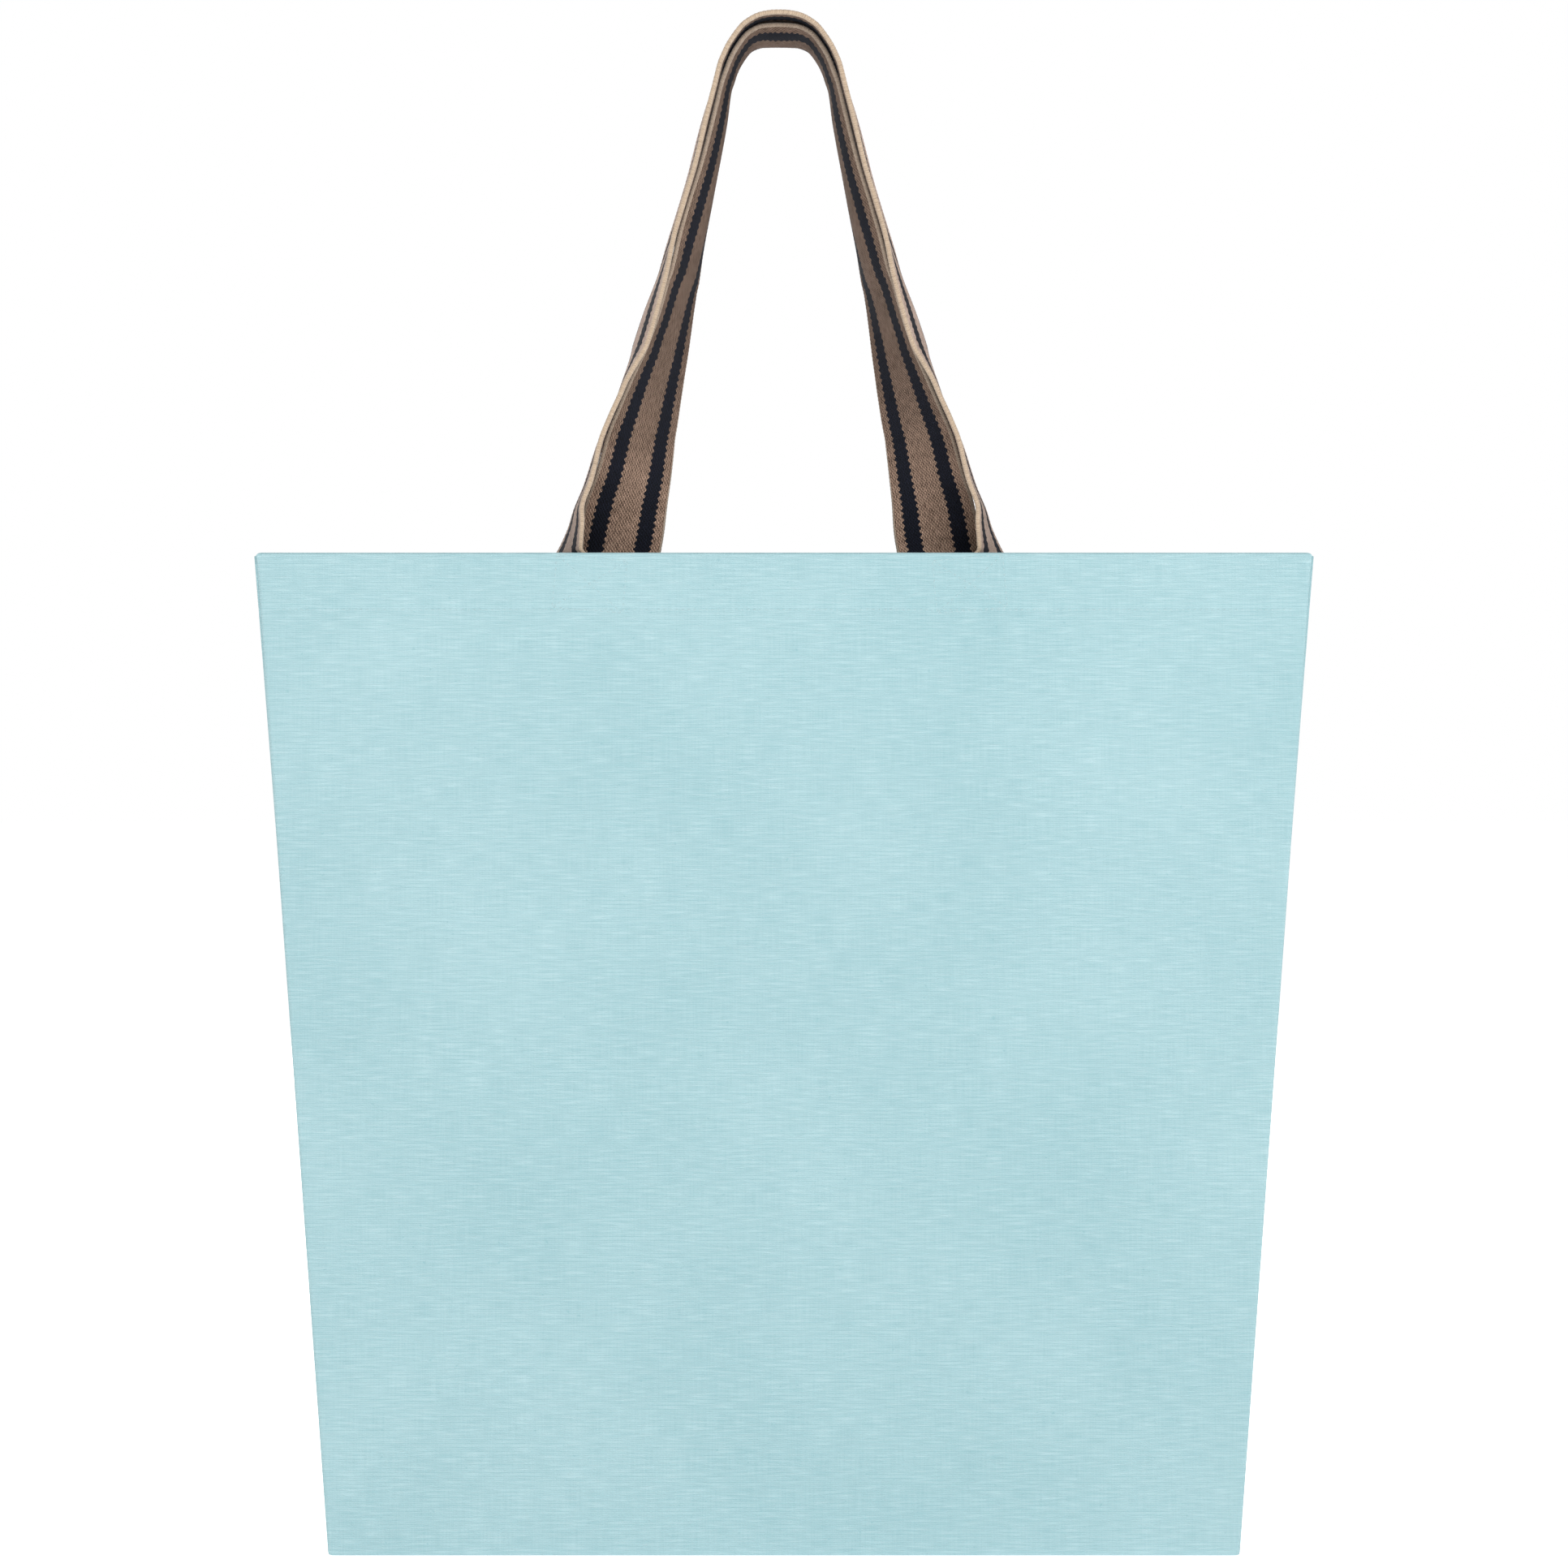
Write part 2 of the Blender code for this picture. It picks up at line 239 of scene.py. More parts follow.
# Studio. Soft boxes are name, place, size and power in watts.
FLOOR_REACH = 30.0
FLOOR_DROP = 0.0002
FLOOR_GLOW = 0.72
SURROUND_LIGHT = 0.32
LIGHT_TARGET = (0.0, 0.0, 0.35)
SOFTBOXES = [
    ("front_softbox", (0.5, -2.6, 1.7), (2.4, 2.0), 80.0),
    ("back_softbox", (-0.5, 2.6, 1.7), (2.4, 2.0), 70.0),
    ("left_softbox", (-2.2, -0.5, 0.9), (1.2, 1.8), 9.0),
    ("right_softbox", (2.2, -0.5, 0.9), (1.2, 1.8), 9.0),
]
CAMERA_PLACE = (0.0, -1.600, 0.3438)
LENS = 79.72
SENSOR = 36.0


# ---------------------------------------------------------------- node graphs


class Graph:
    """Short calls that add and link the nodes of one material."""

    def __init__(self, name, roughness, sheen=0.0):
        self.material = bpy.data.materials.new(name)
        self.material.use_nodes = True
        self.tree = self.material.node_tree
        self.shader = self.tree.nodes["Principled BSDF"]
        self.shader.inputs["Roughness"].default_value = roughness
        self.shader.inputs["Specular IOR Level"].default_value = 0.25
        self.shader.inputs["Sheen Weight"].default_value = sheen
        self.shader.inputs["Sheen Roughness"].default_value = 0.6

    def put(self, socket, value):
        """Link a socket to a value, or set it."""
        if isinstance(value, bpy.types.NodeSocket):
            self.tree.links.new(value, socket)
        else:
            socket.default_value = value

    def math(self, operation, *values):
        node = self.tree.nodes.new("ShaderNodeMath")
        node.operation = operation
        for socket, value in zip(node.inputs, values):
            self.put(socket, value)
        return node.outputs[0]

    def uv(self):
        """The two metre coordinates of the cloth, across and along."""
        node = self.tree.nodes.new("ShaderNodeUVMap")
        node.uv_map = "cloth"
        split = self.tree.nodes.new("ShaderNodeSeparateXYZ")
        self.tree.links.new(node.outputs[0], split.inputs[0])
        return split.outputs[0], split.outputs[1]

    def place(self):
        """The three coordinates of a point on the piece, in metres."""
        node = self.tree.nodes.new("ShaderNodeTexCoord")
        return node.outputs["Object"]

    def vector(self, x, y):
        node = self.tree.nodes.new("ShaderNodeCombineXYZ")
        for socket, value in zip(node.inputs, (x, y)):
            self.put(socket, value)
        return node.outputs[0]

    def noise(self, vector, scale=1.0, detail=0.0, roughness=0.5):
        node = self.tree.nodes.new("ShaderNodeTexNoise")
        self.put(node.inputs["Vector"], vector)
        node.inputs["Scale"].default_value = scale
        node.inputs["Detail"].default_value = detail
        node.inputs["Roughness"].default_value = roughness
        return node.outputs[0]

    def ramp(self, value, low, high):
        """Map a value smoothly from 0 at low to 1 at high."""
        node = self.tree.nodes.new("ShaderNodeMapRange")
        node.interpolation_type = "SMOOTHSTEP"
        for socket, number in zip(node.inputs, (value, low, high)):
            self.put(socket, number)
        return node.outputs[0]

    def mix(self, factor, first, second):
        node = self.tree.nodes.new("ShaderNodeMix")
        node.data_type = "RGBA"
        self.put(node.inputs[0], factor)
        for socket, colour in zip(node.inputs[6:8], (first, second)):
            self.put(socket, (*colour, 1.0) if isinstance(colour, tuple) else colour)
        return node.outputs[2]

    def scale_colour(self, colour, factor):
        """Make a colour darker or lighter by a factor."""
        node = self.tree.nodes.new("ShaderNodeVectorMath")
        node.operation = "SCALE"
        self.put(node.inputs[0], colour)
        self.put(node.inputs["Scale"], factor)
        return node.outputs[0]

    def vary(self, shade, noise, amount):
        """Add an amount of noise to a shade, centred on the noise's middle value."""
        return self.math("MULTIPLY_ADD", self.math("SUBTRACT", noise, 0.5), amount, shade)

    def bump(self, height, distance, strength):
        node = self.tree.nodes.new("ShaderNodeBump")
        node.inputs["Strength"].default_value = strength
        node.inputs["Distance"].default_value = distance
        self.put(node.inputs["Height"], height)
        return node.outputs[0]

    def finish(self, colour, normal):
        self.put(self.shader.inputs["Base Color"], colour)
        self.put(self.shader.inputs["Normal"], normal)
        return self.material


def canvas_material(name, light, dark):
    """Plain-weave cotton: weft ribs crossed by finer warp, with slubs, flecks and soft clouds, and
    painted shade in the weave's hollows.
    """
    warp_pitch, weft_pitch = 0.00062, 0.00085
    g = Graph(name, 0.92, sheen=0.12)
    u, v = g.uv()
    wander = g.math("MULTIPLY", g.noise(g.vector(u, v), scale=160.0, detail=2.0), 0.9)
    warp = g.math("MULTIPLY", g.math("ADD", g.math("DIVIDE", u, warp_pitch), wander), math.pi)
    weft = g.math("MULTIPLY", g.math("ADD", g.math("DIVIDE", v, weft_pitch), wander), math.pi)
    weft_rib = g.math("ABSOLUTE", g.math("SINE", weft))
    warp_rib = g.math("ABSOLUTE", g.math("SINE", warp))
    over = g.math("MULTIPLY", g.math("SINE", warp), g.math("SINE", weft))
    pillow = g.math("MULTIPLY", weft_rib, g.math("MULTIPLY_ADD", warp_rib, 0.18, 0.82))
    height = g.math("MULTIPLY_ADD", over, 0.10, pillow)

    weft_streak = g.noise(g.vector(g.math("MULTIPLY", u, 90.0), g.math("DIVIDE", v, weft_pitch)))
    warp_streak = g.noise(g.vector(g.math("DIVIDE", u, warp_pitch), g.math("MULTIPLY", v, 60.0)))
    cloud = g.noise(g.vector(u, v), scale=9.0, detail=3.0)
    slub = g.ramp(weft_streak, 0.62, 0.80)
    fleck = g.ramp(g.noise(g.vector(u, v), scale=420.0, detail=1.0), 0.72, 0.80)

    # Painted shade: the colour follows the weave's height, darker in its hollows and lighter on the
    # raised yarn.
    shade = g.math("MULTIPLY_ADD", height, 0.36, 0.24)
    shade = g.vary(shade, weft_streak, 0.7)
    shade = g.vary(shade, warp_streak, 0.35)
    shade = g.vary(shade, cloud, 0.8)
    shade = g.math("MULTIPLY_ADD", slub, 0.15, shade)
    colour = g.mix(g.math("SUBTRACT", shade, g.math("MULTIPLY", fleck, 0.45)), dark, light)
    relief = g.math("MULTIPLY_ADD", slub, 0.5, height)
    return g.finish(colour, g.bump(relief, 0.00012, 0.8))


def webbing_material(name, tan_dark, tan_light, navy, end_painted_light=0.0):
    """Heavy cotton webbing: slanted grains in staggered columns, with two navy stripes, and painted
    shade in the grains' hollows.

    The last argument is how much paler the tan is painted near the sewn ends than at the top: painted
    light on the handle's lower legs.
    """
    column, grain, lean = 0.00078, RIB_PITCH, 0.30
    stripe_inner, stripe_outer = 0.0072, 0.0147
    scallop_pitch, scallop, soft = 0.0031, 0.00055, 0.00008
    painted_light_start, painted_light_full = 0.17, 0.27
    g = Graph(name, 0.9)
    u, v = g.uv()
    wander = g.math("MULTIPLY", g.noise(g.vector(u, v), scale=260.0, detail=1.0), 0.5)
    across = g.math("ADD", g.math("DIVIDE", u, column), wander)
    inside = g.math("SUBTRACT", g.math("FRACT", across), 0.5)
    odd = g.math("FLOORED_MODULO", g.math("FLOOR", across), 2.0)
    along = g.math("ADD", g.math("DIVIDE", v, grain), g.math("MULTIPLY", odd, 0.5))
    along = g.math("ADD", g.math("MULTIPLY_ADD", inside, lean, along), wander)
    rib = g.math("POWER", g.math("COSINE", g.math("MULTIPLY", inside, math.pi)), 0.8)
    bead = g.math("ABSOLUTE", g.math("SINE", g.math("MULTIPLY", along, math.pi)))
    height = g.math("MULTIPLY", rib, g.math("POWER", bead, 0.5))

    wave = g.math("SINE", g.math("MULTIPLY", v, 2 * math.pi / scallop_pitch))
    ragged = g.math("SUBTRACT", g.noise(g.vector(u, v), scale=500.0), 0.5)
    wave = g.math("ADD", wave, ragged)
    inner_edge = g.math("MULTIPLY_ADD", wave, scallop, g.math("ABSOLUTE", u))
    outer_edge = g.math("MULTIPLY_ADD", wave, -scallop, g.math("ABSOLUTE", u))
    past_inner = g.ramp(inner_edge, stripe_inner - soft, stripe_inner + soft)
    before_outer = g.ramp(outer_edge, stripe_outer + soft, stripe_outer - soft)
    stripe = g.math("MULTIPLY", past_inner, before_outer)

    tone = g.noise(g.vector(g.math("DIVIDE", u, column), g.math("MULTIPLY", v, 300.0)))
    cloud = g.noise(g.vector(u, v), scale=60.0, detail=2.0)
    # Painted shade and highlight: the tan and navy follow the grains' height, darker in the hollows
    # and lighter on the raised grains.
    shade = g.vary(height, tone, 0.8)
    shade = g.vary(shade, cloud, 0.5)
    # Painted light: the tan is painted paler towards the sewn ends, standing in for light on the
    # handle's lower legs.
    near_end = g.ramp(g.math("ABSOLUTE", v), painted_light_start, painted_light_full)
    lift = g.math("MULTIPLY_ADD", near_end, end_painted_light, 1.0)
    tan = g.scale_colour(g.mix(shade, tan_dark, tan_light), lift)
    blue = g.mix(g.math("MULTIPLY", shade, shade), tuple(0.35 * part for part in navy), navy)
    return g.finish(g.mix(stripe, tan, blue), g.bump(height, 0.0005, 1.0))


def edge_material(name, light, dark):
    """The pale, fuzzy selvedge of the webbing, with painted shade between its beads."""
    g = Graph(name, 0.95, sheen=0.25)
    u, v = g.uv()
    bead = g.math("SINE", g.math("MULTIPLY", g.math("ADD", u, v), 2 * math.pi / EDGE_BEAD))
    speckle = g.noise(g.vector(u, v), scale=900.0, detail=2.0, roughness=0.7)
    # Painted shade: the colour follows the beads, darker between them.
    shade = g.math("MULTIPLY_ADD", bead, 0.14, 0.55)
    shade = g.vary(shade, speckle, 1.4)
    relief = g.math("MULTIPLY_ADD", bead, 0.35, speckle)
    return g.finish(g.mix(shade, dark, light), g.bump(relief, 0.0003, 0.8))


def thread_material(name, light, dark):
    """Twisted sewing thread, with painted shade in the grooves of its twist."""
    twist_pitch = 0.0005
    g = Graph(name, 0.6, sheen=0.1)
    u, v = g.uv()
    turns = g.math("SINE", g.math("MULTIPLY", g.math("ADD", u, v), 2 * math.pi / twist_pitch))
    # Painted shade: the colour follows the twist, darker in its grooves.
    shade = g.math("MULTIPLY_ADD", turns, 0.3, 0.6)
    return g.finish(g.mix(shade, dark, light), g.bump(turns, 0.00006, 0.6))


def tape_material(name, light, dark):
    """Fine cotton tape with ribs across it, painted darker between the ribs as painted shade."""
    rib_pitch = 0.0007
    g = Graph(name, 0.85, sheen=0.1)
    u, v = g.uv()
    ribs = g.math("ABSOLUTE", g.math("SINE", g.math("MULTIPLY", v, math.pi / rib_pitch)))
    speckle = g.noise(g.vector(u, v), scale=700.0, detail=2.0)
    # Painted shade: the colour follows the ribs, darker between them; the speckle is the tape's own
    # tone.
    shade = g.math("MULTIPLY_ADD", ribs, 0.5, g.math("MULTIPLY", speckle, 0.5))
    return g.finish(g.mix(shade, dark, light), g.bump(ribs, 0.00012, 0.8))


def floor_material():
    """A plain white studio floor."""
    g = Graph("studio_floor", 0.9)
    grain = g.noise(g.place(), scale=40.0, detail=2.0)
    colour = g.mix(grain, (0.88, 0.88, 0.88), (0.92, 0.92, 0.92))
    g.shader.inputs["Emission Color"].default_value = (1.0, 1.0, 1.0, 1.0)
    g.shader.inputs["Emission Strength"].default_value = FLOOR_GLOW
    return g.finish(colour, g.bump(grain, 0.0001, 0.1))


# ---------------------------------------------------------------- mesh helpers


def grid_faces(rows, columns, wrap=False):
    """Quads of a grid of points, row by row. wrap joins the last column to the first."""
    row, column = np.meshgrid(
        np.arange(rows - 1), np.arange(columns if wrap else columns - 1), indexing="ij"
    )
    following = (column + 1) % columns
    here, above = row * columns, (row + 1) * columns
    quads = np.stack([here + column, here + following, above + following, above + column], -1)
    return quads.reshape(-1, 4)


def tube_faces(rings, around):
    """Faces of a closed tube of points, ring by ring, with a flat face at each end."""
    faces = grid_faces(rings, around, wrap=True).tolist()
    faces.append(list(range(around))[::-1])
    faces.append(list(range((rings - 1) * around, rings * around)))
    return faces


def new_piece(name, points, faces, uvs, materials, indices=None):
    """A smooth mesh object from numpy points, faces and one UV per point."""
    mesh = bpy.data.meshes.new(name)
    faces = [list(map(int, face)) for face in faces]
    mesh.from_pydata(np.asarray(points, float).tolist(), [], faces)
    for material in materials:
        mesh.materials.append(material)
    if indices is not None:
        mesh.polygons.foreach_set("material_index", np.asarray(indices, np.int32))
    layer = mesh.uv_layers.new(name="cloth")
    corners = np.zeros(len(mesh.loops), np.int32)
    mesh.loops.foreach_get("vertex_index", corners)
    layer.data.foreach_set("uv", np.asarray(uvs, np.float32)[corners].ravel())
    mesh.polygons.foreach_set("use_smooth", np.ones(len(mesh.polygons), bool))
    obj = bpy.data.objects.new(name, mesh)
    bpy.context.scene.collection.objects.link(obj)
    return obj


def thicken(obj, thickness):
    """Give an open cloth its thickness, half to each side."""
    solidify = obj.modifiers.new("thickness", "SOLIDIFY")
    solidify.thickness = thickness
    solidify.offset = 0.0
    solidify.use_even_offset = False
    graph = bpy.context.evaluated_depsgraph_get()
    mesh = bpy.data.meshes.new_from_object(obj.evaluated_get(graph))
    obj.modifiers.clear()
    obj.data = mesh
    mesh.set_sharp_from_angle(angle=math.radians(50))


def smooth_step(value):
    """An S-curve from 0 to 1, level outside that range."""
    value = np.clip(value, 0.0, 1.0)
    return value * value * (3 - 2 * value)


def unit(vectors):
    """The same directions with a length of 1."""
    return vectors / np.linalg.norm(vectors, axis=-1, keepdims=True)


def running_total(steps):
    """The distance walked at the start and after each step."""
    return np.concatenate([[0.0], np.cumsum(steps)])


def arc(count, start, end):
    """Angles from start to end in degrees, ends included."""
    return np.radians(np.linspace(start, end, count))


# ---------------------------------------------------------------- panels


def edge_x(slope):
    """Half a panel's width at a distance up its slope."""
    return HALF_BASE + (HALF_TOP - HALF_BASE) * slope / SLOPE


# Soft swells of the standing canvas: x, distance up the slope, height, reach
SWELLS = [
    (-0.045, 0.160, -0.0012, 0.070),
    (0.070, 0.240, 0.0010, 0.090),
    (-0.120, 0.300, 0.0009, 0.080),
    (0.010, 0.345, -0.0008, 0.060),
    (-0.150, 0.060, -0.0009, 0.060),
    (0.150, 0.090, 0.0008, 0.070),
]


def swell(side, x, slope):
    """How far the canvas stands proud of a flat panel at a place."""
    held = smooth_step((edge_x(slope) - np.abs(x)) / 0.05)
    held = held * smooth_step(slope / 0.06) * smooth_step((SLOPE - 0.034 - slope) / 0.05)
    height = np.zeros(np.broadcast(x, slope).shape)
    for centre, up, rise, reach in SWELLS:
        away = (x + side * centre) ** 2 + (slope - up) ** 2
        height = height + rise * np.exp(-away / reach**2)
    return height * held


def hem_pucker(x, slope):
    """The groove that a stitched line pulls into the cloth, with a pucker at each stitch."""
    groove = np.exp(-(((slope - HEM_LINE) / HEM_LINE_GROOVE) ** 2))
    ripple = 0.7 + 0.3 * np.sin(2 * math.pi * x / 0.011) * np.sin(2 * math.pi * x / 0.037)
    return 0.00028 * groove * ripple


def panel_point(side, x, slope, depth):
    """Points in space from places on a panel."""
    y = side * (HALF_DEPTH - slope * math.sin(LEAN) - depth * math.cos(LEAN))
    z = slope * math.cos(LEAN) - depth * math.sin(LEAN)
    return np.stack(np.broadcast_arrays(x, y, z), -1)


def panel_profile():
    """The cloth's middle line from the base roll over the top fold to the hem's edge.

    Returns slope, depth, and 0 on the outer layer to 1 on the turned-in hem.
    """
    middle = CLOTH / 2
    low = LAYER_GAP + middle + BASE_ROLL
    roll = arc(5, 0, 90)
    slopes = [low - BASE_ROLL * np.cos(roll)]
    depths = [middle + BASE_ROLL - BASE_ROLL * np.sin(roll)]
    fold_radius = (CLOTH + LAYER_GAP) / 2
    top = SLOPE - middle - fold_radius
    below_line, over_line = HEM_LINE - HEM_LINE_REACH, HEM_LINE + HEM_LINE_REACH
    body = np.linspace(low, below_line, round((HEM_LINE - low) / CLOTH_STEP))[1:]
    line = np.linspace(below_line, over_line, 17)[1:]
    above = np.linspace(over_line, top, 9)[1:]
    for part in (body, line, above):
        slopes.append(part)
        depths.append(np.full(len(part), middle))
    fold = arc(9, 0, 180)[1:]
    slopes.append(top + fold_radius * np.sin(fold))
    depths.append(middle + fold_radius - fold_radius * np.cos(fold))
    hem = np.linspace(top, SLOPE - HEM_DEPTH, 24)[1:]
    slopes.append(hem)
    depths.append(np.full(len(hem), middle + 2 * fold_radius))
    outer = sum(map(len, slopes[:-2]))
    turned = np.concatenate([np.zeros(outer), (1 - np.cos(fold)) / 2, np.ones(len(hem))])
    return np.concatenate(slopes), np.concatenate(depths), turned


def build_panel(side, canvas):
    """A panel cloth with rolled sides and a turned-in hem, as one sheet."""
    slopes, depths, turned = panel_profile()
    middle = CLOTH / 2
    roll = arc(5, 0, 84)[1:]
    flat = np.linspace(-1.0, 1.0, 1 + 2 * round(HALF_TOP / CLOTH_STEP))
    columns = len(flat) + 2 * len(roll)
    x = np.zeros((len(slopes), columns))
    depth = np.zeros_like(x)
    for row, (slope, layer_depth, fold) in enumerate(zip(slopes, depths, turned)):
        edge = edge_x(min(slope, SLOPE)) - HEM_INSET * fold
        ease = 1.0 - smooth_step((slope - ROLL_EASE_START) / ROLL_EASE)
        start = edge - middle - SIDE_ROLL
        out = start + SIDE_ROLL * np.sin(roll)
        back = SIDE_ROLL * (1 - np.cos(roll)) * ease * (1 - fold)
        x[row] = np.concatenate([-out[::-1], flat * start, out])
        depth[row] = layer_depth + np.concatenate([back[::-1], np.zeros(len(flat)), back])
    slope = np.broadcast_to(slopes[:, None], x.shape)
    cloth = panel_point(side, x, slope, depth - swell(side, x, slope) + hem_pucker(x, slope))
    walked = running_total(np.hypot(np.diff(slopes), np.diff(depths)))
    uvs = np.stack([x, np.broadcast_to(walked[:, None], x.shape)], -1)
    faces = grid_faces(len(slopes), columns)
    if side == BACK:
        faces = faces[:, ::-1]
    name = SIDE_NAMES[side]
    obj = new_piece(f"{name}_canvas", cloth.reshape(-1, 3), faces, uvs.reshape(-1, 2), [canvas])
    thicken(obj, CLOTH)
    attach(obj, f"{name}_side")
    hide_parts(f"{name}_panel", f"{name}_hem")


# ---------------------------------------------------------------- gussets and base


def gusset_half(height, inside, setback):
    """Points from the fold to the front seam at one height, for the right gusset.

    They run a little past the seam, so that the cloth is caught under the panel. inside
    moves them towards the inside of the bag, and setback stops them shorter, as a share
    of the leg.
    """
    seam_x = HALF_BASE + (HALF_TOP - HALF_BASE) * height / HEIGHT - SIDE_ROLL
    seam_y = HALF_DEPTH - (HALF_DEPTH - HALF_MOUTH) * height / HEIGHT - CLOTH - SIDE_ROLL
    pleat = PLEAT_DEPTH * max(height / HEIGHT, 0.0) ** PLEAT_GROWTH
    share = np.linspace(0.0, 1.0 + SEAM_TUCK / seam_y - setback, GUSSET_COLUMNS)
    rounded = np.hypot(share, FOLD_SOFTNESS) - FOLD_SOFTNESS
    rounded = rounded / (math.hypot(1.0, FOLD_SOFTNESS) - FOLD_SOFTNESS)
    bulge = GUSSET_BULGE * np.sin(math.pi * share) ** 2 * smooth_step(height / BULGE_START)
    x = seam_x - pleat * (1 - rounded) + bulge
    y = -seam_y * share
    steps = unit(np.stack([np.gradient(x), np.gradient(y)], -1))
    return x + steps[:, 1] * inside, y - steps[:, 0] * inside


def gusset_rows():
    """Heights and inward offsets from the base over the top fold to the hem's edge."""
    middle = CLOTH / 2
    low = CLOTH + 2 * LAYER_GAP + middle
    fold_radius = (CLOTH + LAYER_GAP) / 2
    top = HEIGHT - 0.0005 - middle - fold_radius
    line = HEM_LINE * math.cos(LEAN)
    below_line, over_line = line - HEM_LINE_REACH, line + HEM_LINE_REACH
    share = np.linspace(0.0, 1.0, round((line - low) / GUSSET_STEP))
    body = share ** 1.25 * (below_line - low) + low
    near = np.linspace(below_line, over_line, 13)[1:]
    above = np.linspace(over_line, top, 7)[1:]
    fold = arc(7, 0, 180)[1:]
    hem = np.linspace(top, HEIGHT - HEM_DEPTH, 10)[1:]
    heights = np.concatenate([body, near, above, top + fold_radius * np.sin(fold), hem])
    outer = len(body) + len(near) + len(above)
    inside = np.concatenate(
        [np.zeros(outer), fold_radius * (1 - np.cos(fold)), np.full(len(hem), 2 * fold_radius)]
    )
    return heights, inside


def build_gusset_half(hand, side, canvas, thread):
    """Half of a side gusset, from the pleat's fold to one panel, with its hem."""
    heights, inside = gusset_rows()
    line = HEM_LINE * math.cos(LEAN)
    points, uvs = [], []
    walked = running_total(np.hypot(np.diff(heights), np.diff(inside)))
    for height, offset, up in zip(heights, inside, walked):
        turned = offset / (CLOTH + LAYER_GAP)
        groove = 0.0002 * math.exp(-(((height - line) / HEM_LINE_GROOVE) ** 2))
        setback = GUSSET_HEM_SETBACK * turned
        x, y = gusset_half(height, offset + groove * (1 - turned), setback)
        points.append(np.stack([hand * x, -side * y, np.full(len(x), height)], -1))
        across = running_total(np.hypot(np.diff(x), np.diff(y)))
        uvs.append(np.stack([across, np.full(len(x), up)], -1))
    faces = grid_faces(len(heights), len(points[0]))
    if hand * side == -1:
        faces = faces[:, ::-1]
    name = f"{HAND_NAMES[hand]}_gusset_{SIDE_NAMES[side]}_half"
    obj = new_piece(name, np.concatenate(points), faces, np.concatenate(uvs), [canvas])
    thicken(obj, CLOTH)
    join_to_side(obj)
    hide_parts(f"{HAND_NAMES[hand]}_gusset", f"{HAND_NAMES[hand]}_gusset_hem")

    x, y = gusset_half(line, -(CLOTH / 2), GUSSET_STITCH_SETBACK)
    path = np.stack([hand * x, -side * y, np.full(len(x), line)], -1)
    out = np.tile(np.array([hand, 0.0, 0.0]), (len(path), 1))
    stitches = build_stitches(f"{name}_hem_stitches", [(path, out)], thread)
    join_to_side(stitches)
    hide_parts(f"{HAND_NAMES[hand]}_gusset_hem_stitching")


def join_to_side(obj):
    """Bake a gusset piece's placement into its mesh."""
    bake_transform(obj)


def build_base(canvas):
    """The base cloth: flat on the floor, a little uneven, turned up along its edges."""
    width, depth = HALF_BASE - 0.001, HALF_DEPTH - CLOTH - BASE_ROLL
    x = np.linspace(-width, width, BASE_COLUMNS)[None, :]
    y = np.linspace(-depth, depth, BASE_ROWS)[:, None]
    rise = 0.0005 * np.sin(x / 0.021) * np.sin(y / 0.016 + x / 0.07)
    rise = np.maximum(rise, 0.0) * smooth_step((depth - np.abs(y)) / 0.02)
    turned = 0.0012 * (1 - smooth_step((depth - np.abs(y)) / 0.0025))
    z = CLOTH / 2 + rise + turned
    points = np.stack(np.broadcast_arrays(x, y, z), -1).reshape(-1, 3)
    faces = grid_faces(BASE_ROWS, BASE_COLUMNS)
    obj = new_piece("base_canvas", points, faces, points[:, :2], [canvas])
    thicken(obj, CLOTH)
    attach(obj, "bag_base")
    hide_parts("base_panel")


# ---------------------------------------------------------------- stitches and tapes


def at_places(places, walked, values):
    """The values of a line's points at some distances along it."""
    return np.stack([np.interp(places, walked, values[:, k]) for k in range(3)], -1)


def spaced(path, out, pitch):
    """Points, directions and outward normals a pitch apart along a line."""
    look = 0.0002
    walked = running_total(np.linalg.norm(np.diff(path, axis=0), axis=1))
    count = max(1, round(walked[-1] / pitch))
    places = (np.arange(count) + 0.5) * walked[-1] / count
    middle = at_places(places, walked, path)
    normal = at_places(places, walked, out)
    along = unit(at_places(places + look, walked, path) - at_places(places - look, walked, path))
    normal = unit(normal - along * (normal * along).sum(1, keepdims=True))
    return middle, along, normal


def stitch_shape():
    """One stitch: a thread that rises from one needle hole and dips into the next."""
    rings, sides = 7, 6
    angle = np.arange(sides) * 2 * math.pi / sides
    points = []
    for place in np.linspace(-1.0, 1.0, rings):
        radius = THREAD_RADIUS * (1 - 0.45 * place**4)
        drop = 0.00042 * abs(place) ** 3
        length = np.full(sides, place * STITCH_LENGTH / 2)
        across, up = radius * np.cos(angle), radius * np.sin(angle) * 0.8 - drop
        points.append(np.stack([length, across, up], -1))
    return np.concatenate(points), [face[::-1] for face in tube_faces(rings, sides)]


def build_stitches(name, lines, thread):
    """Stitches along several lines, each a path and its outward normals, as one piece."""
    shape, shape_faces = stitch_shape()
    points, faces, uvs = [], [], []
    for path, out in lines:
        for middle, along, normal in zip(*spaced(path, out, STITCH_PITCH)):
            side = np.cross(normal, along)
            axes = np.stack([along, side, normal])
            base = len(points) * len(shape)
            points.append(shape @ axes + middle)
            uvs.append(shape[:, :2] + middle[0])
            faces.extend([[base + corner for corner in face] for face in shape_faces])
    obj = new_piece(name, np.concatenate(points), faces, np.concatenate(uvs), [thread])
    return obj


